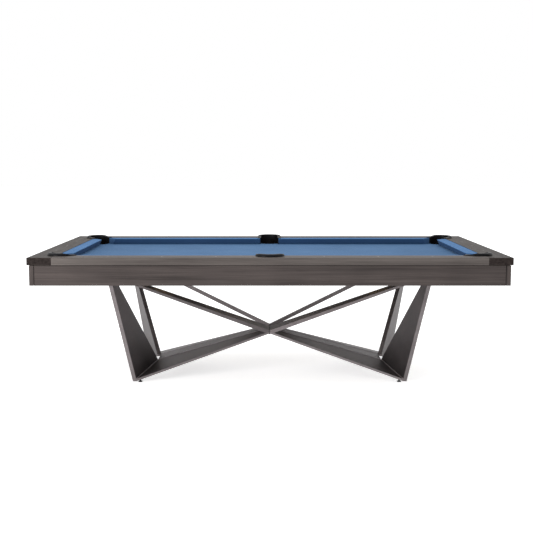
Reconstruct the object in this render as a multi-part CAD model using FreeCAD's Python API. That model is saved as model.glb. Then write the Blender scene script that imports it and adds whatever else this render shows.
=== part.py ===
import FreeCAD, Part
import math
import os

# Pool table, eight-foot size. Millimetres, +Z up, X along the length, Y across.
# The origin is on the floor under the centre of the bed.
# Front is -Y, rear is +Y, left is -X, right is +X.

# ---- playing surface -------------------------------------------------------
play_length = 2235.0        # between the noses of the end cushions
play_width = 1118.0         # between the noses of the side cushions
bed_height = 731.0          # top of the bed cloth above the floor
cloth_thickness = 1.0
slate_thickness = 22.0
slate_under_rail = 150.0    # how far the slate runs out past the cushion nose
slate_joint_gap = 0.3

# ---- rails and cushions ----------------------------------------------------
rail_wood_width = 133.0
cushion_depth = 64.5        # from the wood to the nose
rail_thickness = 41.0
rail_edge_chamfer = 2.0
cushion_top_drop = 2.8      # cloth below the top of the wood, where they meet
nose_height = 37.0          # above the bed
nose_flat = 4.0
nose_undercut = 18.0
cushion_foot_gap = 1.2      # under the cushion
fit_gap = 0.5               # between pieces that only pass each other
sight_radius = 5.5
sight_depth = 2.0
sight_gap = 0.1
sights_per_half = 3

# ---- pockets ---------------------------------------------------------------
corner_mouth = 116.0
side_mouth = 131.0
corner_facing_angle = 45.0
side_facing_angle = 76.0
pocket_hole_radius = 58.5    # at the bed
liner_wall = 3.0
corner_pocket_offset = 38.0  # pocket centre past the noses, along X and along Y
side_pocket_back = 151.5     # far side of the side pocket's hole, past the noses
corner_ear = 42.0            # how far a collar's ears reach from the centre to the bed
side_ear_setback = 11.0      # its ears at a side pocket end this far short of the noses
throat_inset = 2.0           # the hole is this much narrower at the collar
collar_width = 17.5
collar_height = 15.5         # of the dome at the back of the collar
collar_round = 11.0
dome_reach = 34.0            # the dome ends this far behind the pocket's centre
brim_height = 6.0            # of the collar beside the pocket's centre
ear_height = 3.6             # of the collar at the tips of its ears
collar_over_cushion = 1.4    # clear height kept for the cushion's cloth
liner_drop_reach = 20.0      # how far the wall wraps round below the bed
liner_below_slate = 10.0
cup_wall = 3.0
cup_depth = 76.0
cup_flange_width = 16.0
cup_flange_thickness = 4.0

# ---- aprons ----------------------------------------------------------------
apron_inset = 10.0
apron_thickness = 22.0
apron_bottom = 618.5
reveal_height = 3.0
reveal_depth = 8.0
trim_width = 24.0
groove_width = 5.0
groove_depth = 6.0
bracket_thickness = 4.0
bracket_width = 40.0
bracket_reach = 42.0

# ---- frame under the slate -------------------------------------------------
beam_height = 48.0
beam_width = 50.0
cup_to_beam = 21.0           # between a corner pocket's cup and the long beam beside it
beam_end_setback = 90.0      # beam end inside the slate end
cross_beam_count = 5

# ---- steel base ------------------------------------------------------------
leg_plate = 25.0
foot_plate = 13.5
mount_plate_thickness = 8.0
mount_plate_length = 150.0
mount_plate_width = 80.0
mount_plate_x = 902.0
apex_x, apex_z = 923.0, 720.0                    # where the two leg edges would meet
apex_past_beam = 32.0                            # that point, out from the beam's centre line
foot_x, foot_z = 783.0, 20.0                     # floor corner of a leg, inner face
foot_inside_beam = 90.0                          # that corner, in from the beam's centre line
ridge_x, ridge_y, ridge_z = 686.0, 90.0, 77.0    # inner low corner of a leg
hub_ridge_y, hub_ridge_z = 47.0, 267.0           # the foot plate's top strip at mid-table
hub_edge_y = 130.0                               # the foot plate's outer edge at mid-table
base_clear = 3.0             # steel above the floor
arm_hub_inner = (34.0, 275.5)                    # inner top edge at mid-table, across and up
arm_hub_outer = (127.0, 264.3)
arm_hub_thickness = 25.0
arm_end_x = 905.0
arm_end_half_width = 33.0                        # at the top of a leg, each side of the beam
arm_end_inner_z, arm_end_outer_z = 655.0, 649.0
arm_end_inner_thickness = 22.0
arm_end_outer_thickness = 12.0
arm_run_on = 20.0            # trimmed off at the leg
glide_inset_x, glide_inset_y = 23.0, 19.0        # in from the floor corner of the leg
glide_radius = 12.0
glide_height = 5.0
glide_stem_radius = 5.0
glide_stem_length = 15.3
glide_gap = 0.3

# ---- fasteners -------------------------------------------------------------
rail_bolt_radius = 5.0
rail_bolt_head_radius = 9.0
rail_bolt_head = 6.0
rail_bolt_bite = 24.0        # length inside the rail
rail_bolt_edge = 36.0        # bolt line inside the slate edge
screw_radius = 3.0
screw_head_radius = 6.0
screw_head = 4.0
screw_bite = 30.0
base_bolt_radius = 4.0
base_bolt_head_radius = 7.0
base_bolt_head = 5.0
base_bolt_bite = 34.0
base_bolt_pitch = 104.0
bolt_gap = 0.2

# ---- values that follow from the ones above --------------------------------
nose_to_edge = rail_wood_width + cushion_depth
half_length = play_length / 2 + nose_to_edge
half_width = play_width / 2 + nose_to_edge
rail_bottom = bed_height
rail_top = bed_height + rail_thickness
slate_top = bed_height - cloth_thickness
slate_bottom = slate_top - slate_thickness
slate_half_length = play_length / 2 + slate_under_rail
slate_half_width = play_width / 2 + slate_under_rail
beam_bottom = slate_bottom - beam_height
mount_plate_bottom = beam_bottom - mount_plate_thickness
wood_x = half_length - rail_wood_width
wood_y = half_width - rail_wood_width
apron_top = rail_bottom - reveal_height
apron_x = half_length - apron_inset
apron_y = half_width - apron_inset
liner_radius = pocket_hole_radius + liner_wall
cutter_radius = liner_radius + fit_gap
collar_radius = liner_radius + collar_width
throat_radius = pocket_hole_radius - throat_inset
corner_pocket = (play_length / 2 + corner_pocket_offset, play_width / 2 + corner_pocket_offset)
side_pocket_offset = side_pocket_back - pocket_hole_radius
side_pocket = (0.0, play_width / 2 + side_pocket_offset)
side_ear = side_pocket_offset - side_ear_setback
cup_radius = liner_radius + fit_gap + cup_wall
cup_bottom = slate_bottom - cup_depth
beam_offset = corner_pocket[1] - cup_radius - cup_flange_width - cup_to_beam - beam_width / 2
apex_y = beam_offset + apex_past_beam
foot_y = beam_offset - foot_inside_beam
glide_x = foot_x - glide_inset_x
glide_y = foot_y - glide_inset_y
arm_end_inner = (beam_offset - arm_end_half_width, arm_end_inner_z)
arm_end_outer = (beam_offset + arm_end_half_width, arm_end_outer_z)
sight_spacing = 2 * wood_x / 8
signs = (-1, 1)


def vec(x, y, z):
    return FreeCAD.Vector(x, y, z)


def box(x0, x1, y0, y1, z0, z1):
    return Part.makeBox(x1 - x0, y1 - y0, z1 - z0, vec(x0, y0, z0))


def cylinder(radius, x, y, z0, z1):
    return Part.makeCylinder(radius, z1 - z0, vec(x, y, z0))


def prism(points, direction):
    outline = Part.makePolygon(points + [points[0]])
    return Part.Face(outline).extrude(direction)


def mirrored(shape, sx, sy):
    """Turn a piece made for the +X +Y quarter into the one at signs sx, sy."""
    if sx < 0:
        shape = shape.mirror(vec(0, 0, 0), vec(1, 0, 0))
    if sy < 0:
        shape = shape.mirror(vec(0, 0, 0), vec(0, 1, 0))
    return shape


def group(shapes):
    return Part.makeCompound(shapes)


def fused(shapes):
    result = shapes[0]
    for shape in shapes[1:]:
        result = result.fuse(shape)
    return result.removeSplitter()


def side_name(sx):
    return "left" if sx < 0 else "right"


def end_name(sy):
    return "front" if sy < 0 else "rear"


def save(name, shape):
    shape.exportStep("parts/" + name + ".step")
    print(name, len(shape.Solids), round(shape.Volume / 1000.0, 1), shape.isValid())


# ---- holes that several pieces share ---------------------------------------

def pocket_signs():
    """The six pockets. The first sign is 0 at a side pocket."""
    return [(sx, sy) for sx in (-1, 0, 1) for sy in signs]


def pocket_ear(sx):
    return side_ear if sx == 0 else corner_ear


def at_pocket(shape, sx, sy):
    """Move a piece made about the origin, open towards -X, to one of the six pockets."""
    x, y = (0.0, sy * side_pocket[1]) if sx == 0 else (sx * corner_pocket[0], sy * corner_pocket[1])
    turned = shape.copy()
    turned.rotate(vec(0, 0, 0), vec(0, 0, 1), math.degrees(math.atan2(sy, sx)))
    turned.translate(vec(x, y, 0))
    return turned


def channel(half_width, reach, z0, z1):
    """A round hole run out straight towards -X."""
    hole = cylinder(half_width, 0, 0, z0, z1)
    return fused([hole, box(-reach, 0, -half_width, half_width, z0, z1)])


def hole_cutter():
    """Round holes that clear the pocket liners, through cloth and slate."""
    hole = cylinder(cutter_radius, 0, 0, cup_bottom, rail_top + collar_height)
    return group([at_pocket(hole, sx, sy) for sx, sy in pocket_signs()])


def rail_cutter():
    """Notches that clear the pocket liners, through rails and cushions."""
    top = rail_top + collar_height
    return group([at_pocket(channel(cutter_radius, pocket_ear(sx) + fit_gap, slate_bottom, top), sx, sy)
                  for sx, sy in pocket_signs()])


def rail_bolt_places():
    """Three bolts in each half side rail and three in each end rail."""
    bolt_y = slate_half_width - rail_bolt_edge
    bolt_x = slate_half_length - rail_bolt_edge
    step = (corner_pocket[0] - collar_radius) / 4
    places = [(sx * (step * k + step / 2), sy * bolt_y)
              for sx in signs for sy in signs for k in (1, 2, 3)]
    end_step = (corner_pocket[1] - collar_radius) / 2
    return places + [(sx * bolt_x, k * end_step) for sx in signs for k in (-1, 0, 1)]


def rail_bolt(x, y, gap):
    shank = cylinder(rail_bolt_radius + gap, x, y, slate_bottom, rail_bottom + rail_bolt_bite + gap)
    head = cylinder(rail_bolt_head_radius, x, y, slate_bottom - rail_bolt_head, slate_bottom)
    return shank.fuse(head).removeSplitter()


def slate_screw_places():
    """Four screws in each slate, over the long beams."""
    third = 2 * slate_half_length / 3
    inset = third / 6
    xs = []
    for k in (-1, 0, 1):
        xs += [k * third - third / 2 + inset, k * third + third / 2 - inset]
    return [(x, sy * beam_offset) for x in xs for sy in signs]


def slate_screw(x, y, gap):
    shank = cylinder(screw_radius + gap, x, y, slate_bottom - screw_bite - gap, slate_top - screw_head)
    top = slate_top if gap > 0 else slate_top - fit_gap
    head = cylinder(screw_head_radius + gap, x, y, slate_top - screw_head, top)
    return shank.fuse(head).removeSplitter()


def base_bolt_places():
    return [(sx * (mount_plate_x + k * base_bolt_pitch / 2), sy * beam_offset)
            for sx in signs for sy in signs for k in signs]


def base_bolt(x, y, gap):
    shank = cylinder(base_bolt_radius + gap, x, y, mount_plate_bottom,
                     beam_bottom + base_bolt_bite + gap)
    head = cylinder(base_bolt_head_radius, x, y, mount_plate_bottom - base_bolt_head,
                    mount_plate_bottom)
    return shank.fuse(head).removeSplitter()


def sight_places():
    """Three sights each side of a side pocket, and three on each end rail."""
    side_y = half_width - rail_wood_width / 2
    end_x = half_length - rail_wood_width / 2
    places = [(sx * k * sight_spacing, sy * side_y)
              for sx in signs for sy in signs for k in range(1, sights_per_half + 1)]
    end_spacing = 2 * wood_y / 4
    return places + [(sx * end_x, k * end_spacing) for sx in signs for k in (-1, 0, 1)]


def sight(x, y, gap):
    return cylinder(sight_radius + gap, x, y, rail_top - sight_depth - gap, rail_top)


# ---- bed -------------------------------------------------------------------

def slate(index):
    third = 2 * slate_half_length / 3
    x0 = -slate_half_length + index * third
    x1 = x0 + third
    x0 += slate_joint_gap / 2 if index > 0 else 0
    x1 -= slate_joint_gap / 2 if index < 2 else 0
    body = box(x0, x1, -slate_half_width, slate_half_width, slate_bottom, slate_top)
    body = body.cut(hole_cutter())
    body = body.cut([slate_screw(x, y, bolt_gap) for x, y in slate_screw_places()])
    return body.cut([rail_bolt(x, y, bolt_gap) for x, y in rail_bolt_places()])


def bed_cloth():
    body = box(-slate_half_length, slate_half_length, -slate_half_width, slate_half_width,
               slate_top, bed_height)
    body = body.cut(hole_cutter())
    return body.cut([rail_bolt(x, y, bolt_gap) for x, y in rail_bolt_places()])


# ---- rails and cushions ----------------------------------------------------

def finish_rail(body):
    body = body.cut(rail_cutter())
    body = body.cut([sight(x, y, sight_gap) for x, y in sight_places()])
    return body.cut([rail_bolt(x, y, bolt_gap) for x, y in rail_bolt_places()])


def end_rail(sx):
    """Runs the full width, so that its ends show at the corners."""
    body = box(wood_x, half_length, -half_width, half_width, rail_bottom, rail_top)
    outer = [e for e in body.Edges if e.BoundBox.XMin > half_length - 1 and e.BoundBox.YLength > 1]
    ends = [e for e in body.Edges if e.BoundBox.XLength > 1]
    body = body.makeChamfer(rail_edge_chamfer, outer + ends)
    return finish_rail(mirrored(body, sx, 1))


def side_rail(sy):
    """Fits between the end rails."""
    body = box(-wood_x, wood_x, wood_y, half_width, rail_bottom, rail_top)
    outer = [e for e in body.Edges if e.BoundBox.YMin > half_width - 1 and e.BoundBox.XLength > 1]
    body = body.makeChamfer(rail_edge_chamfer, outer)
    return finish_rail(mirrored(body, 1, sy))


def cushion_section(reach):
    """Section in (distance from the wood, height)."""
    top = rail_top - cushion_top_drop
    nose = bed_height + nose_height
    foot = bed_height + cushion_foot_gap
    return [(fit_gap / 5, foot), (fit_gap / 5, top), (reach - nose_flat, nose + nose_flat / 4), (reach, nose),
            (reach - nose_flat / 2, nose - nose_flat), (reach - nose_undercut, foot)]


def side_cushion(sx, sy):
    nose_y = play_width / 2
    tip_in = side_mouth / 2
    tip_out = play_length / 2 - corner_mouth / math.sqrt(2)
    back_in = tip_in - cushion_depth / math.tan(math.radians(side_facing_angle))
    back_out = tip_out + cushion_depth / math.tan(math.radians(corner_facing_angle))
    section = [vec(0, wood_y - u, z) for u, z in cushion_section(cushion_depth)]
    body = prism(section, vec(half_length, 0, 0))
    plan = [vec(tip_in, nose_y, 0), vec(tip_out, nose_y, 0), vec(back_out, wood_y, 0), vec(back_in, wood_y, 0)]
    body = body.common(prism(plan, vec(0, 0, rail_top)))
    return mirrored(body.cut(rail_cutter()), sx, sy)


def end_cushion(sx):
    nose_x = play_length / 2
    tip = play_width / 2 - corner_mouth / math.sqrt(2)
    back = tip + cushion_depth / math.tan(math.radians(corner_facing_angle))
    section = [vec(wood_x - u, -half_width, z) for u, z in cushion_section(cushion_depth)]
    body = prism(section, vec(0, 2 * half_width, 0))
    plan = [vec(nose_x, -tip, 0), vec(nose_x, tip, 0), vec(wood_x, back, 0), vec(wood_x, -back, 0)]
    body = body.common(prism(plan, vec(0, 0, rail_top)))
    return mirrored(body.cut(rail_cutter()), sx, 1)


# ---- pockets ---------------------------------------------------------------

def collar(ear):
    """Domed ring round the pocket, falling to a thin brim with two ears towards the bed."""
    base = rail_top - cushion_top_drop + collar_over_cushion
    top = rail_top + collar_height
    ring = cylinder(collar_radius, 0, 0, base, top)
    back = ring.common(box(0, collar_radius, -collar_radius, collar_radius, base, top))
    body = fused([back, box(-ear, 0, -collar_radius, collar_radius, base, top)])
    rim = [e for e in body.Edges if e.BoundBox.ZMin > top - 1 and e.BoundBox.XLength > 1]
    body = body.makeFillet(collar_round, rim)
    side = prism([vec(-ear, -collar_radius, base), vec(collar_radius, -collar_radius, base),
                  vec(collar_radius, -collar_radius, top), vec(dome_reach, -collar_radius, top),
                  vec(0, -collar_radius, rail_top + brim_height),
                  vec(-ear, -collar_radius, rail_top + ear_height)], vec(0, 2 * collar_radius, 0))
    return body.common(side)


def throat(ear):
    """The hollow of a liner: it narrows from the bed up to the collar, and runs out between the ears."""
    top = rail_top + collar_height
    well = cylinder(pocket_hole_radius, 0, 0, cup_bottom, bed_height)
    neck = Part.makeCone(pocket_hole_radius, throat_radius, rail_top - bed_height, vec(0, 0, bed_height))
    mouth = cylinder(throat_radius, 0, 0, rail_top, 2 * top)
    run = prism([vec(0, -pocket_hole_radius, bed_height), vec(0, pocket_hole_radius, bed_height),
                 vec(0, throat_radius, rail_top), vec(0, throat_radius, 2 * top),
                 vec(0, -throat_radius, 2 * top), vec(0, -throat_radius, rail_top)], vec(-2 * ear, 0, 0))
    below = box(-2 * ear, 0, -pocket_hole_radius, pocket_hole_radius, cup_bottom, bed_height)
    return fused([well, neck, mouth, run, below])


def pocket_liner(sx, sy):
    """Moulded collar on the rail top, with a curved wall down past the slate."""
    ear = pocket_ear(sx)
    above_bed = bed_height + fit_gap
    wall = channel(liner_radius, ear, above_bed, rail_top)
    drop = cylinder(liner_radius, 0, 0, slate_bottom - liner_below_slate, above_bed)
    drop = drop.cut(box(-collar_radius, -liner_drop_reach, -collar_radius, collar_radius,
                        cup_bottom, above_bed))
    body = fused([wall, drop, collar(ear)])
    body = at_pocket(body.cut(throat(ear)), sx, sy)
    return body.cut(wood_under_collars())


def wood_under_collars():
    """The wooden part of the rails, with the liners' notches left open."""
    frame = box(-half_length, half_length, -half_width, half_width, rail_bottom, rail_top)
    frame = frame.cut(box(-wood_x + fit_gap, wood_x - fit_gap, -wood_y + fit_gap, wood_y - fit_gap,
                          rail_bottom, rail_top))
    return frame.cut(rail_cutter())


def pocket_cup(sx, sy):
    """Open cup hung from a flange under the slate. It catches the balls."""
    shell = cylinder(cup_radius, 0, 0, cup_bottom, slate_bottom)
    flange = cylinder(cup_radius + cup_flange_width, 0, 0, slate_bottom - cup_flange_thickness,
                      slate_bottom)
    hollow = cylinder(cup_radius - cup_wall, 0, 0, cup_bottom + cup_wall, slate_bottom)
    body = at_pocket(shell.fuse(flange).cut(hollow), sx, sy)
    inner_x = apron_x - apron_thickness - fit_gap
    inner_y = apron_y - apron_thickness - fit_gap
    inside = box(-inner_x, inner_x, -inner_y, inner_y, cup_bottom, slate_bottom)
    return body.common(inside).removeSplitter()


# ---- aprons ----------------------------------------------------------------

def apron_section(face):
    """Section in (distance out from the middle, height): a board with a set-back tongue."""
    back = face - apron_thickness
    step = face - reveal_depth
    return [(back, apron_bottom), (face, apron_bottom), (face, apron_top), (step, apron_top),
            (step, rail_bottom), (back, rail_bottom)]


def side_apron(sy):
    reach = apron_x - trim_width - groove_width
    section = [vec(-reach, y, z) for y, z in apron_section(apron_y)]
    return mirrored(prism(section, vec(2 * reach, 0, 0)), 1, sy)


def end_apron(sx):
    reach = apron_y - trim_width - groove_width
    section = [vec(x, -reach, z) for x, z in apron_section(apron_x)]
    return mirrored(prism(section, vec(0, 2 * reach, 0)), sx, 1)


def corner_trim(sx, sy):
    """Corner post, with a lip behind each groove that meets the apron's end."""
    post = box(apron_x - trim_width, apron_x, apron_y - trim_width, apron_y, apron_bottom, apron_top)
    tenon = box(apron_x - trim_width, apron_x - reveal_depth, apron_y - trim_width, apron_y - reveal_depth,
                apron_top, rail_bottom)
    lip_x = box(apron_x - trim_width - groove_width, apron_x - trim_width,
                apron_y - apron_thickness, apron_y - groove_depth, apron_bottom, apron_top)
    lip_y = box(apron_x - apron_thickness, apron_x - groove_depth,
                apron_y - trim_width - groove_width, apron_y - trim_width, apron_bottom, apron_top)
    return mirrored(fused([post, tenon, lip_x, lip_y]), sx, sy)


def apron_brackets():
    """Angle brackets from the back of each apron to the underside of the slate."""
    half = bracket_width / 2
    brackets = []
    side_back = apron_y - apron_thickness
    end_back = apron_x - apron_thickness
    step = (corner_pocket[0] - collar_radius) / 4
    for sy in signs:
        for k in (-3, -1, 1, 3):
            x = k * step
            upright = box(x - half, x + half, side_back - bracket_thickness, side_back,
                          slate_bottom - bracket_reach, slate_bottom)
            arm = box(x - half, x + half, side_back - bracket_reach, side_back,
                      slate_bottom - bracket_thickness, slate_bottom)
            brackets.append(mirrored(upright.fuse(arm).removeSplitter(), 1, sy))
    end_step = (corner_pocket[1] - collar_radius) / 4
    for sx in signs:
        for k in signs:
            y = k * end_step
            upright = box(end_back - bracket_thickness, end_back, y - half, y + half,
                          slate_bottom - bracket_reach, slate_bottom)
            arm = box(end_back - bracket_reach, end_back, y - half, y + half,
                      slate_bottom - bracket_thickness, slate_bottom)
            brackets.append(mirrored(upright.fuse(arm).removeSplitter(), sx, 1))
    return group(brackets)


# ---- frame under the slate -------------------------------------------------

def long_beam(sy):
    reach = slate_half_length - beam_end_setback
    body = box(-reach, reach, beam_offset - beam_width / 2, beam_offset + beam_width / 2,
               beam_bottom, slate_bottom)
    body = mirrored(body, 1, sy)
    body = body.cut([slate_screw(x, y, bolt_gap) for x, y in slate_screw_places()])
    return body.cut([base_bolt(x, y, bolt_gap) for x, y in base_bolt_places()])


def cross_beams():
    reach = beam_offset - beam_width / 2
    last = slate_half_length - beam_end_setback - beam_width / 2
    beams = []
    for k in range(cross_beam_count):
        x = -last + 2 * last * k / (cross_beam_count - 1)
        beams.append(box(x - beam_width / 2, x + beam_width / 2, -reach, reach, beam_bottom, slate_bottom))
    return group(beams)


# ---- steel base ------------------------------------------------------------

def edge_point(start, end, height):
    """Point on the line from start to end at a height."""
    share = (height - start.z) / (end.z - start.z)
    return start + (end - start) * share


def leg_corners():
    apex = vec(apex_x, apex_y, apex_z)
    foot = vec(foot_x, foot_y, foot_z)
    ridge = vec(ridge_x, ridge_y, ridge_z)
    return apex, foot, ridge


def leg_normal():
    """Unit normal of a leg's inner face, pointing in towards mid-table."""
    apex, foot, ridge = leg_corners()
    normal = (foot - apex).cross(ridge - apex)
    normal.normalize()
    return normal if normal.x < 0 else normal * -1


def leg_blank():
    """Flat triangular plate that leans in at the foot, its top cut level."""
    apex, foot, ridge = leg_corners()
    top_out = edge_point(apex, foot, mount_plate_bottom)
    top_in = edge_point(apex, ridge, mount_plate_bottom)
    down = vec(0, 0, -foot_plate)
    drop_out = edge_point(apex, foot, foot_z - foot_plate)
    drop_in = ridge + down - leg_normal() * down.dot(leg_normal())
    outline = [top_out, top_in, ridge, drop_in, drop_out]
    body = prism(outline, leg_normal() * -leg_plate)
    size = 2 * half_length
    return body.common(box(0, size, 0, size, base_clear, mount_plate_bottom))


def leg(sx, sy):
    return mirrored(leg_blank(), sx, sy)


def foot_plate_wing():
    """Sloping half of a foot plate, for the +X +Y quarter, down from the ridge."""
    apex, foot, ridge = leg_corners()
    hub = vec(0, hub_ridge_y, hub_ridge_z)
    normal = (ridge - foot).cross(hub - ridge)
    normal.normalize()
    if normal.z < 0:
        normal = normal * -1
    edge_z = hub.z - normal.y * (hub_edge_y - hub.y) / normal.z
    edge = vec(0, hub_edge_y, edge_z)
    return prism([foot, ridge, hub, edge], vec(0, 0, -foot_plate))


def foot_plate_half(sx):
    """Folded plate: a level strip along the middle and a wing down to each foot."""
    strip = prism([vec(ridge_x, -ridge_y, ridge_z), vec(ridge_x, ridge_y, ridge_z),
                   vec(0, hub_ridge_y, hub_ridge_z), vec(0, -hub_ridge_y, hub_ridge_z)],
                  vec(0, 0, -foot_plate))
    wing = foot_plate_wing()
    body = fused([strip, wing, mirrored(wing, 1, -1)])
    size = 2 * half_length
    body = body.common(box(0, size, -size, size, base_clear, size))
    body = body.cut([mirrored(shape, 1, sy) for shape in (leg_blank(), arm_blank()) for sy in signs])
    hole_top = glide_height + glide_stem_length + glide_gap
    holes = [cylinder(glide_stem_radius + glide_gap, glide_x, sy * glide_y, 0, hole_top)
             for sy in signs]
    return mirrored(body.cut(holes), sx, 1)


def levelling_foot(sx, sy):
    pad = cylinder(glide_radius, glide_x, glide_y, 0, glide_height)
    stem = cylinder(glide_stem_radius, glide_x, glide_y, glide_height, glide_height + glide_stem_length)
    return mirrored(pad.fuse(stem).removeSplitter(), sx, sy)


def arm_section(share):
    """Cross section of an arm, share of the way from mid-table to the top of a leg."""
    hub = [arm_hub_inner, arm_hub_outer, (arm_hub_outer[0], arm_hub_outer[1] - arm_hub_thickness),
           (arm_hub_inner[0], arm_hub_inner[1] - arm_hub_thickness)]
    end = [arm_end_inner, arm_end_outer, (arm_end_outer[0], arm_end_outer[1] - arm_end_outer_thickness),
           (arm_end_inner[0], arm_end_inner[1] - arm_end_inner_thickness)]
    points = [vec(arm_end_x * share, a[0] + (b[0] - a[0]) * share, a[1] + (b[1] - a[1]) * share)
              for a, b in zip(hub, end)]
    return Part.makePolygon(points + [points[0]])


def arm_blank():
    """Tapered brace from mid-table up to the top of a leg, cut to the leg's inner face."""
    run = (apex_x + arm_run_on) / arm_end_x
    body = Part.makeLoft([arm_section(0), arm_section(run)], True, True)
    size = 2 * half_length
    beyond_leg = Part.makeBox(size, size, size, vec(-size / 2, -size / 2, 0))
    turn = FreeCAD.Rotation(vec(0, 0, 1), leg_normal() * -1)
    beyond_leg.Placement = FreeCAD.Placement(leg_corners()[0], turn).multiply(beyond_leg.Placement)
    body = body.cut(beyond_leg)
    return body.common(box(0, size, 0, size, 0, mount_plate_bottom))


def arm(sx, sy):
    return mirrored(arm_blank(), sx, sy)


def mount_plates():
    plate = box(mount_plate_x - mount_plate_length / 2, mount_plate_x + mount_plate_length / 2,
                beam_offset - mount_plate_width / 2, beam_offset + mount_plate_width / 2,
                mount_plate_bottom, beam_bottom)
    plates = [mirrored(plate, sx, sy) for sx in signs for sy in signs]
    holes = [base_bolt(x, y, bolt_gap) for x, y in base_bolt_places()]
    return group([plate.cut(holes) for plate in plates])


def build():
    os.makedirs("parts", exist_ok=True)
    for index, name in enumerate(("slate_left", "slate_centre", "slate_right")):
        save(name, slate(index))
    save("bed_cloth", bed_cloth())
    for sx in signs:
        save("end_rail_" + side_name(sx), end_rail(sx))
        save("end_cushion_" + side_name(sx), end_cushion(sx))
        save("end_apron_" + side_name(sx), end_apron(sx))
        save("foot_plate_" + side_name(sx), foot_plate_half(sx))
    for sy in signs:
        save("side_rail_" + end_name(sy), side_rail(sy))
        save("side_apron_" + end_name(sy), side_apron(sy))
        save("long_beam_" + end_name(sy), long_beam(sy))
        save("side_pocket_liner_" + end_name(sy), pocket_liner(0, sy))
        save("side_pocket_cup_" + end_name(sy), pocket_cup(0, sy))
    for sx in signs:
        for sy in signs:
            place = end_name(sy) + "_" + side_name(sx)
            save("side_cushion_" + place, side_cushion(sx, sy))
            save("corner_trim_" + place, corner_trim(sx, sy))
            save("corner_pocket_liner_" + place, pocket_liner(sx, sy))
            save("corner_pocket_cup_" + place, pocket_cup(sx, sy))
            save("leg_" + place, leg(sx, sy))
            save("arm_" + place, arm(sx, sy))
            save("levelling_foot_" + place, levelling_foot(sx, sy))
    save("cross_beams", cross_beams())
    save("mount_plates", mount_plates())
    save("apron_brackets", apron_brackets())
    save("rail_bolts", group([rail_bolt(x, y, 0) for x, y in rail_bolt_places()]))
    save("slate_screws", group([slate_screw(x, y, 0) for x, y in slate_screw_places()]))
    save("base_bolts", group([base_bolt(x, y, 0) for x, y in base_bolt_places()]))
    save("sights", group([sight(x, y, 0) for x, y in sight_places()]))


build()
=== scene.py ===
import math
import bmesh
import bpy
import numpy as np
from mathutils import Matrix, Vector


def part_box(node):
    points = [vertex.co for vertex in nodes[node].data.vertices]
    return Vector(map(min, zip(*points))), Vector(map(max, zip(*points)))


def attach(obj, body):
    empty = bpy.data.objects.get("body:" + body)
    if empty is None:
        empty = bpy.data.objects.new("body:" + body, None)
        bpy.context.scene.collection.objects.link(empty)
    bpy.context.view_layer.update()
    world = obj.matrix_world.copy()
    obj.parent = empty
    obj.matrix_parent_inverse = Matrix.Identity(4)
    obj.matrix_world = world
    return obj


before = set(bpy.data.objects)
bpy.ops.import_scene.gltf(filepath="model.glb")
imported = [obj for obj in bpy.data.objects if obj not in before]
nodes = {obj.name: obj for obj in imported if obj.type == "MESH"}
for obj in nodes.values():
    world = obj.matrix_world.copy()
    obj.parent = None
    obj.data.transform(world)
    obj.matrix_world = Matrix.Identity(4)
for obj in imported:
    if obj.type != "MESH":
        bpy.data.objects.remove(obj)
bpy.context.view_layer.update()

MM = 0.001
signs = (-1, 1)


# ---- small helpers ----------------------------------------------------------

def colour(code):
    """Linear colour from an sRGB hex code."""
    values = [int(code[i:i + 2], 16) / 255 for i in (0, 2, 4)]
    return tuple(v / 12.92 if v <= 0.04045 else ((v + 0.055) / 1.055) ** 2.4 for v in values) + (1.0,)


class Shader:
    """One procedural material and the nodes in it."""

    def __init__(self, name):
        self.material = bpy.data.materials.new(name)
        self.material.use_nodes = True
        self.tree = self.material.node_tree
        self.surface = self.tree.nodes["Principled BSDF"]
        self.place = self.add("ShaderNodeTexCoord").outputs["Object"]

    def add(self, kind, inputs=None, **settings):
        """A node with its settings and inputs. An input is a value or another node's output."""
        node = self.tree.nodes.new(kind)
        for key, value in settings.items():
            setattr(node, key, value)
        for key, value in (inputs or {}).items():
            self.put(node.inputs[key], value)
        return node

    def put(self, socket, value):
        if isinstance(value, bpy.types.NodeSocket):
            self.tree.links.new(value, socket)
        else:
            socket.default_value = value

    def math(self, operation, a, b=0.0):
        return self.add("ShaderNodeMath", {0: a, 1: b}, operation=operation).outputs[0]

    def spread(self, value, low, high, to_low=0.0, to_high=1.0):
        """value, mapped from low..high to to_low..to_high and kept inside."""
        return self.add("ShaderNodeMapRange", {"Value": value, "From Min": low, "From Max": high,
                                               "To Min": to_low, "To Max": to_high}).outputs[0]

    def noise(self, scale, detail=3.0, rough=0.5, stretch=(1, 1, 1), seed=0.0):
        """Noise with scale features per metre, drawn out along an axis by stretch."""
        place = self.add("ShaderNodeMapping", {"Vector": self.place, "Scale": stretch,
                                               "Location": (seed, seed * 0.7, seed * 1.3)}).outputs[0]
        return self.add("ShaderNodeTexNoise", {"Vector": place, "Scale": scale, "Detail": detail,
                                               "Roughness": rough}).outputs[0]

    def mix(self, share, a, b):
        node = self.add("ShaderNodeMix", data_type="RGBA")
        self.put(node.inputs[0], share)
        self.put(node.inputs[6], a)
        self.put(node.inputs[7], b)
        return node.outputs[2]

    def bump(self, height, distance, strength=1.0):
        return self.add("ShaderNodeBump", {"Height": height, "Distance": distance,
                                           "Strength": strength}).outputs[0]

    def finish(self, **inputs):
        for key, value in inputs.items():
            self.put(self.surface.inputs[key.replace("_", " ")], value)
        return self.material


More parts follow.
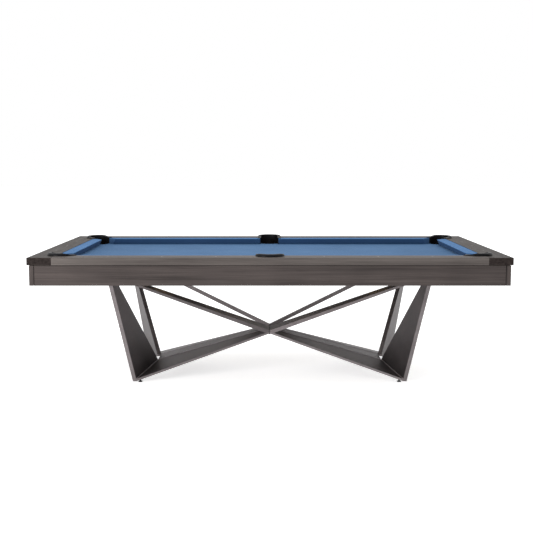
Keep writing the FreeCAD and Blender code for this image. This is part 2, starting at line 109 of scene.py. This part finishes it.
def mesh_object(name, points, faces, material, smooth=False):
    mesh = bpy.data.meshes.new(name)
    mesh.from_pydata([tuple(p) for p in points], [], faces)
    mesh.materials.append(material)
    made = bpy.data.objects.new(name, mesh)
    bpy.context.scene.collection.objects.link(made)
    work = bmesh.new()
    work.from_mesh(mesh)
    bmesh.ops.remove_doubles(work, verts=work.verts, dist=1e-6)
    bmesh.ops.recalc_face_normals(work, faces=work.faces)
    work.to_mesh(mesh)
    work.free()
    for polygon in mesh.polygons:
        polygon.use_smooth = smooth
    return made


# ---- materials --------------------------------------------------------------

def stained_wood(name, grain, light, dark, end_at=None):
    """Grey-brown stained timber with a satin lacquer. grain is the axis that it runs along."""
    s = Shader(name)
    long = [38.0, 38.0, 38.0]
    long["XYZ".index(grain)] = 1.0
    fine = [260.0, 260.0, 260.0]
    fine["XYZ".index(grain)] = 4.0
    broad = s.noise(1.0, 4.0, 0.6, long, 3.1)
    streak = s.noise(1.0, 3.0, 0.55, fine, 7.7)
    cloud = s.noise(2.2, 2.0, 0.5, (1, 1, 1), 1.9)
    tone = s.math("ADD", s.math("MULTIPLY", broad, 0.62), s.math("MULTIPLY", streak, 0.38))
    tone = s.math("ADD", tone, s.math("MULTIPLY", s.math("SUBTRACT", cloud, 0.5), 0.35))
    base = s.mix(s.spread(tone, 0.33, 0.67), dark, light)
    pores = s.spread(s.noise(1.0, 2.0, 0.5, [v * 3.0 for v in fine], 11.0), 0.62, 0.72)
    base = s.mix(s.math("MULTIPLY", pores, 0.35), base, colour("2b2725"))
    if end_at is not None:
        across = s.add("ShaderNodeSeparateXYZ", {0: s.place}).outputs[1]
        cut = s.spread(s.math("ABSOLUTE", across), end_at - 0.0003, end_at)
        rings = s.noise(60.0, 3.0, 0.6, (1, 0.2, 1.6), 5.0)
        end_tone = s.mix(s.spread(rings, 0.35, 0.65), colour("201b1a"), colour("312b29"))
        base = s.mix(cut, base, end_tone)
    relief = s.math("ADD", s.math("MULTIPLY", streak, 0.6), s.math("MULTIPLY", pores, -0.6))
    return s.finish(Base_Color=base, Roughness=s.spread(streak, 0.3, 0.7, 0.36, 0.5),
                    Specular_IOR_Level=0.03, Normal=s.bump(relief, 0.00012))


def frame_timber():
    """Bare structural softwood."""
    s = Shader("bare softwood")
    grain = s.noise(1.0, 4.0, 0.6, (2.0, 60.0, 60.0), 2.0)
    base = s.mix(s.spread(grain, 0.35, 0.65), colour("a98a5f"), colour("c9ad80"))
    return s.finish(Base_Color=base, Roughness=0.7, Normal=s.bump(grain, 0.0003))


def billiard_cloth(name, deep, pale, turn=None):
    """Worsted wool cloth: a fine weave with a short nap. Below the height turn it is painted darker,
    as painted shade under a cushion's nose."""
    s = Shader(name)
    waves = []
    for axis in ("X", "Y"):
        waves.append(s.add("ShaderNodeTexWave", {"Vector": s.place, "Scale": 180.0, "Distortion": 0.6,
                                                 "Detail": 1.0}, bands_direction=axis).outputs[1])
    weave = s.math("MULTIPLY", waves[0], waves[1])
    nap = s.noise(900.0, 2.0, 0.6)
    drift = s.noise(3.0, 3.0, 0.5)
    tone = s.math("ADD", s.math("MULTIPLY", weave, 0.25), s.math("MULTIPLY", nap, 0.45))
    tone = s.math("ADD", tone, s.math("MULTIPLY", drift, 0.3))
    base = s.mix(s.spread(tone, 0.25, 0.65), deep, pale)
    if turn is not None:
        up = s.add("ShaderNodeSeparateXYZ", {0: s.place}).outputs[2]
        # Painted shade: below the height turn the cloth is mixed half way to a dark blue, for the shade
        # under the nose.
        base = s.mix(s.spread(up, turn - 0.0005, turn + 0.0005, 0.5, 0.0), base, colour("16263f"))
    height = s.math("ADD", s.math("MULTIPLY", weave, 0.6), s.math("MULTIPLY", nap, 0.4))
    return s.finish(Base_Color=base, Roughness=0.92, Specular_IOR_Level=0.1,
                    Sheen_Weight=0.06, Sheen_Roughness=0.5,
                    Sheen_Tint=colour("9db8d8"), Normal=s.bump(height, 0.00015, 0.6))


def moulded_plastic(name, code, rough_low, rough_high):
    """Moulded plastic with a fine spark-eroded texture."""
    s = Shader(name)
    grit = s.noise(1500.0, 2.0, 0.6)
    smear = s.noise(14.0, 3.0, 0.5)
    base = s.mix(s.spread(smear, 0.3, 0.7), colour(code), colour("151417"))
    return s.finish(Base_Color=base, Specular_IOR_Level=0.12,
                    Roughness=s.spread(smear, 0.35, 0.65, rough_low, rough_high),
                    Normal=s.bump(grit, 0.00004))


def gunmetal_steel(name, dark, light, low=1.0):
    """Blackened steel plate, rubbed back and lacquered: faint mill marks and patches, painted
    shade low down by the share low, and a dark line where two plates are mitred at mid-table."""
    s = Shader(name)
    patch = s.noise(9.0, 5.0, 0.6, (1, 1, 1), 4.2)
    drawn = s.noise(1.0, 3.0, 0.55, (12.0, 12.0, 340.0), 8.1)
    scuff = s.noise(60.0, 4.0, 0.65)
    tone = s.math("ADD", s.math("MULTIPLY", patch, 0.6), s.math("MULTIPLY", drawn, 0.2))
    tone = s.math("ADD", tone, s.math("MULTIPLY", scuff, 0.2))
    base = s.mix(s.spread(tone, 0.36, 0.64), dark, light)
    across, _, height = s.add("ShaderNodeSeparateXYZ", {0: s.place}).outputs
    # Painted shade: darker towards the floor, by the share 1 - low at the bottom.
    base = s.mix(s.spread(height, 0.06, 0.5, 1.0 - low, 0.0), base, colour("1c191a"))
    base = s.mix(s.spread(s.math("ABSOLUTE", across), 0.001, 0.0025, 0.8, 0.0), base, colour("0e0d0d"))
    return s.finish(Base_Color=base, Metallic=0.85, Roughness=s.spread(tone, 0.35, 0.65, 0.44, 0.58),
                    Normal=s.bump(s.math("ADD", drawn, scuff), 0.00008))


def plain_surface(name, deep, pale, rough, metal=0.0, grain=400.0, depth=0.00005):
    """A surface with a fine even grain."""
    s = Shader(name)
    speck = s.noise(grain, 3.0, 0.6)
    drift = s.noise(12.0, 3.0, 0.5)
    tone = s.math("ADD", s.math("MULTIPLY", speck, 0.5), s.math("MULTIPLY", drift, 0.5))
    return s.finish(Base_Color=s.mix(s.spread(tone, 0.35, 0.65), deep, pale), Metallic=metal,
                    Roughness=s.spread(drift, 0.3, 0.7, rough - 0.06, rough + 0.06),
                    Normal=s.bump(speck, depth))


rail_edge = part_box("end_rail_left")[1][1]
# Sawn hardwood, stained grey-brown and lacquered satin: soft streaks and no sharp glints.
wood_x = stained_wood("stained wood, grain along the length", "X", colour("605a57"), colour("474240"))
wood_y = stained_wood("stained wood, grain across, end grain showing", "Y",
                      colour("423c39"), colour("302b28"), rail_edge)
apron_x = stained_wood("stained apron, grain along the length", "X", colour("4f4846"), colour("383332"))
apron_y = stained_wood("stained apron, grain across", "Y", colour("4f4846"), colour("383332"))
wood_z = stained_wood("stained wood, grain upright", "Z", colour("4f4846"), colour("383332"))
# Worsted wool with some nylon, woven and shorn: flat and matte, with hardly any sheen.
bed_wool = billiard_cloth("worsted bed cloth", colour("365271"), colour("4d6d91"))
# The cushion cloth carries painted shade below 0.7665 m, under the nose.
cushion_wool_painted_shade = billiard_cloth("worsted cushion cloth, painted shade under the nose", colour("395c83"), colour("5277a3"), 0.7665)
# Moulded ABS: a soft broad highlight on the collars, and none on the cups below.
pocket_black = moulded_plastic("satin black moulded plastic", "0c0b0d", 0.34, 0.46)
cup_black = moulded_plastic("matte black plastic", "101011", 0.6, 0.7)
# Mild steel plate, blackened and lacquered: a dull blurred reflection, lighter where it is ground.
base_steel = gunmetal_steel("gunmetal steel plate", colour("565051"), colour("716b6c"))
# Painted shade: the legs' plate is painted darker than the arms' and darker again towards the floor.
leg_steel_painted_shade = gunmetal_steel("gunmetal steel leg plate, with painted shade", colour("4b4647"), colour("625c5d"), 0.66)
edge_steel = gunmetal_steel("gunmetal steel, ground edge", colour("605a5b"), colour("7c7677"))
# Painted highlight too: the same light steel is laid as a bead along each fold of the foot plate.
weld_and_highlight_steel = gunmetal_steel("ground steel weld, and painted highlight along the folds", colour("8a8486"), colour("b4aeb2"))
# Pieces that are mostly hidden: sawn pine, honed stone, moulded rubber, pearl and zinc plate.
timber = frame_timber()
slate_grey = plain_surface("honed slate", colour("33363a"), colour("4b4f54"), 0.7, 0.0, 200.0)
rubber_black = plain_surface("black cushion rubber", colour("151515"), colour("242424"), 0.75)
foot_black = plain_surface("black rubber foot", colour("0c0c0c"), colour("191919"), 0.6)
sight_pearl = plain_surface("pearl sight inlay", colour("4a443f"), colour("6b645c"), 0.3)
zinc = plain_surface("zinc plated steel", colour("9a9c9e"), colour("b9bbbd"), 0.35, 1.0)


def material_of(node):
    table = [
        ("side_rail", wood_x), ("side_apron", apron_x), ("end_rail", wood_y), ("end_apron", apron_y),
        ("corner_trim", wood_z), ("long_beam", timber), ("cross_beams", timber),
        ("side_cushion", rubber_black), ("end_cushion", rubber_black), ("slate_screws", zinc),
        ("slate", slate_grey), ("bed_cloth", bed_wool), ("side_pocket_liner", pocket_black),
        ("corner_pocket_liner", pocket_black), ("side_pocket_cup", cup_black),
        ("corner_pocket_cup", cup_black), ("leg_", leg_steel_painted_shade), ("arm_", base_steel),
        ("foot_plate", base_steel), ("mount_plates", base_steel), ("levelling_foot", foot_black),
        ("sights", sight_pearl), ("apron_brackets", zinc), ("rail_bolts", zinc), ("base_bolts", zinc),
    ]
    return next(material for start, material in table if node.startswith(start))


for name, node in nodes.items():
    node.data.materials.clear()
    node.data.materials.append(material_of(name))


def ground_edges(node, widest):
    """Give the narrow faces round a plate the ground finish."""
    mesh = node.data
    mesh.materials.append(edge_steel)
    planes = {}
    for polygon in mesh.polygons:
        key = tuple(round(v, 2) for v in polygon.normal) + (round(polygon.normal.dot(polygon.center), 3),)
        planes.setdefault(key, []).append(polygon)
    for polygons in planes.values():
        corners = np.array([mesh.vertices[i].co for polygon in polygons for i in polygon.vertices])
        longest = np.linalg.norm(corners.max(0) - corners.min(0))
        if sum(polygon.area for polygon in polygons) / longest < widest:
            for polygon in polygons:
                polygon.material_index = 1


widest_edge = 0.03
for name, node in nodes.items():
    if name.startswith(("leg_", "foot_plate")):
        ground_edges(node, widest_edge)


# ---- cushion cloth ----------------------------------------------------------

# Millimetres. u is the distance out from the wood, so the nose is at 64.5.
wood_line_x = 1182.0         # inner face of the end rails
wood_line_y = 623.5          # inner face of the side rails
corner_back_x = 1100.0       # where a corner facing's line would meet the side rail's wood
corner_back_y = 541.5        # and the end rail's
nose_reach = 64.5
facing_cover = 1.4           # cloth past the cushion's end along a corner pocket's mouth
liner_let_in = 5.3           # and how far it stops short round the liner
corner_liner_u = 15.5        # a corner liner wraps the cushion's end out to here
side_liner_u = 53.4          # and a side liner's ear out to here
side_mouth_half = 65.5
side_facing_slope = 0.2493   # change of its half width for each mm in from the nose
side_cover = 1.0
side_liner_line = 61.75      # the cloth's end beside a side pocket's liner
cloth_wall = 0.0006
cushion_top = [(0.3, 770.1), (59.5, 769.95), (62.3, 769.7), (64.2, 769.0), (65.3, 767.9), (65.6, 766.6)]
cushion_under = [(0.3, 731.5), (47.5, 731.5), (63.6, 763.3), (65.0, 764.9), (65.6, 766.6)]
foot_row = 47.5              # nearer the wood, the cushion's underside rests on the bed
cushion_rows = (0.3, 15.4, 15.6, 30.0, 47.5, 50.4, 53.4, 59.5, 61.0, 62.3, 63.6, 64.2, 65.0, 65.3, 65.6)


def height_on(line, u):
    return float(np.interp(u, [p[0] for p in line], [p[1] for p in line]))


def corner_end(back, u):
    """Where the cloth ends at a corner pocket: along the mouth, then let in round the liner."""
    return back - u + (facing_cover if u > corner_liner_u else -liner_let_in)


def side_end(u):
    """Where it ends at a side pocket."""
    if u > side_liner_u:
        return side_mouth_half - (nose_reach - u) * side_facing_slope - side_cover
    return side_liner_line


def cushion_cloth(name, low_end, high_end, to_row):
    """A strip of cloth stretched over a cushion, turned in at both ends."""
    points, faces = [], []
    count = len(cushion_rows)
    for line in (cushion_top, cushion_under):
        for end in (low_end, high_end):
            points += [to_row(end(u), u, height_on(line, u)) for u in cushion_rows]
    top_low, top_high, under_low, under_high = (k * count for k in range(4))
    for k in range(count - 1):
        faces.append((top_low + k, top_low + k + 1, top_high + k + 1, top_high + k))
        faces.append((top_low + k, top_low + k + 1, under_low + k + 1, under_low + k))
        faces.append((top_high + k, top_high + k + 1, under_high + k + 1, under_high + k))
        if cushion_rows[k] >= foot_row:
            faces.append((under_low + k, under_low + k + 1, under_high + k + 1, under_high + k))
    made = mesh_object(name, [Vector(p) * MM for p in points], faces, cushion_wool_painted_shade)
    wall = made.modifiers.new("cloth", "SOLIDIFY")
    wall.thickness = cloth_wall
    wall.offset = -1.0
    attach(made, "table")
    return made


def side_cloths():
    for sx in signs:
        for sy in signs:
            place = ("front_" if sy < 0 else "rear_") + ("left" if sx < 0 else "right")
            made = cushion_cloth("cushion_cloth_" + place, side_end, lambda u: corner_end(corner_back_x, u),
                                 lambda t, u, z: (sx * t, sy * (wood_line_y - u), z))


def end_cloths():
    for sx in signs:
        place = "left" if sx < 0 else "right"
        made = cushion_cloth("cushion_cloth_" + place, lambda u: -corner_end(corner_back_y, u),
                             lambda u: corner_end(corner_back_y, u),
                             lambda t, u, z: (sx * (wood_line_x - u), t, z))


side_cloths()
end_cloths()


# ---- welds, and painted highlights along the folds --------------------------

def steel_bead(name, a, b, radius):
    """A rippled bead from a to b."""
    a, b = Vector(a) * MM, Vector(b) * MM
    along = (b - a).normalized()
    side = along.cross(Vector((0, 0, 1))).normalized()
    up = side.cross(along)
    count = max(4, int((b - a).length / 0.003))
    sides = 8
    points, faces = [], []
    for k in range(count + 1):
        ripple = radius * MM * (1.0 + 0.12 * math.cos(k * 2.1) + 0.06 * math.sin(k * 0.73))
        ripple *= 0.3 if k in (0, count) else 1.0
        centre = a.lerp(b, k / count)
        for j in range(sides):
            turn = 2 * math.pi * j / sides
            points.append(centre + (side * math.cos(turn) + up * math.sin(turn)) * ripple)
    for k in range(count):
        for j in range(sides):
            n = (j + 1) % sides
            faces.append((k * sides + j, k * sides + n, (k + 1) * sides + n, (k + 1) * sides + j))
    faces.append(tuple(range(sides)))
    faces.append(tuple(range(count * sides, (count + 1) * sides)))
    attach(mesh_object(name, points, faces, weld_and_highlight_steel, smooth=True), "table")


# Ends of the beads in the rear right quarter, in millimetres, and their radii.
leg_seam = (781.0, 378.0, 21.5), (686.0, 92.0, 77.5)
# The fold beads are painted highlight: a light steel bead along each fold of the foot plate, for the bright
# line where the plate is bent.
painted_highlight_line = (686.0, 90.5, 77.0), (2.0, 47.0, 266.5)
seam_radius = 3.2
fold_radius = 2.6

for sx in signs:
    for sy in signs:
        place = ("front_" if sy < 0 else "rear_") + ("left" if sx < 0 else "right")
        for kind, ends, radius in (("leg_", leg_seam, seam_radius), ("painted_highlight_fold_", painted_highlight_line, fold_radius)):
            steel_bead("weld_" + kind + place, *[(sx * x, sy * y, z) for x, y, z in ends], radius)


# ---- floor, light and camera ------------------------------------------------

def studio_floor():
    """Plain pale floor that lifts its own shadows a little."""
    s = Shader("pale studio floor")
    drift = s.noise(1.5, 2.0, 0.5)
    base = s.mix(s.spread(drift, 0.3, 0.7), colour("f7f7f7"), colour("fbfbfb"))
    s.finish(Base_Color=base, Roughness=0.9, Emission_Color=(1.0, 1.0, 1.0, 1.0), Emission_Strength=0.6)
    reach = 40.0
    below = -0.0005
    corners = [(x * reach, y * reach, below) for x, y in ((-1, -1), (1, -1), (1, 1), (-1, 1))]
    mesh_object("studio_floor", corners, [(0, 1, 2, 3)], s.material)


def area_light(name, place, aim, size, power):
    data = bpy.data.lights.new(name, "AREA")
    data.shape = "RECTANGLE"
    data.size, data.size_y = size
    data.energy = power
    lamp = bpy.data.objects.new(name, data)
    bpy.context.scene.collection.objects.link(lamp)
    lamp.location = place
    lamp.rotation_euler = (Vector(aim) - Vector(place)).to_track_quat("-Z", "Y").to_euler()
    return lamp


studio_floor()
world = bpy.data.worlds.new("studio")
bpy.context.scene.world = world
world.use_nodes = True
world.node_tree.nodes["Background"].inputs[0].default_value = (1.0, 1.0, 1.0, 1.0)
world.node_tree.nodes["Background"].inputs[1].default_value = 1.0
top = area_light("top softbox", (0.0, 0.1, 2.6), (0.0, 0.0, 0.7), (2.6, 1.3), 7.0)
top.data.spread = math.radians(70.0)
area_light("left softbox", (-4.5, -4.0, 1.6), (-0.2, 0.0, 0.5), (2.0, 2.0), 140.0)

scene = bpy.context.scene
scene.view_settings.view_transform = "Standard"
camera_data = bpy.data.cameras.new("camera")
camera_data.lens = 65.6
camera_data.sensor_width = 36.0
camera = bpy.data.objects.new("camera", camera_data)
scene.collection.objects.link(camera)
camera.location = (-0.01907, -5.9669, 1.2964)
camera.rotation_euler = (math.radians(83.739), 0.0, 0.0)
scene.camera = camera
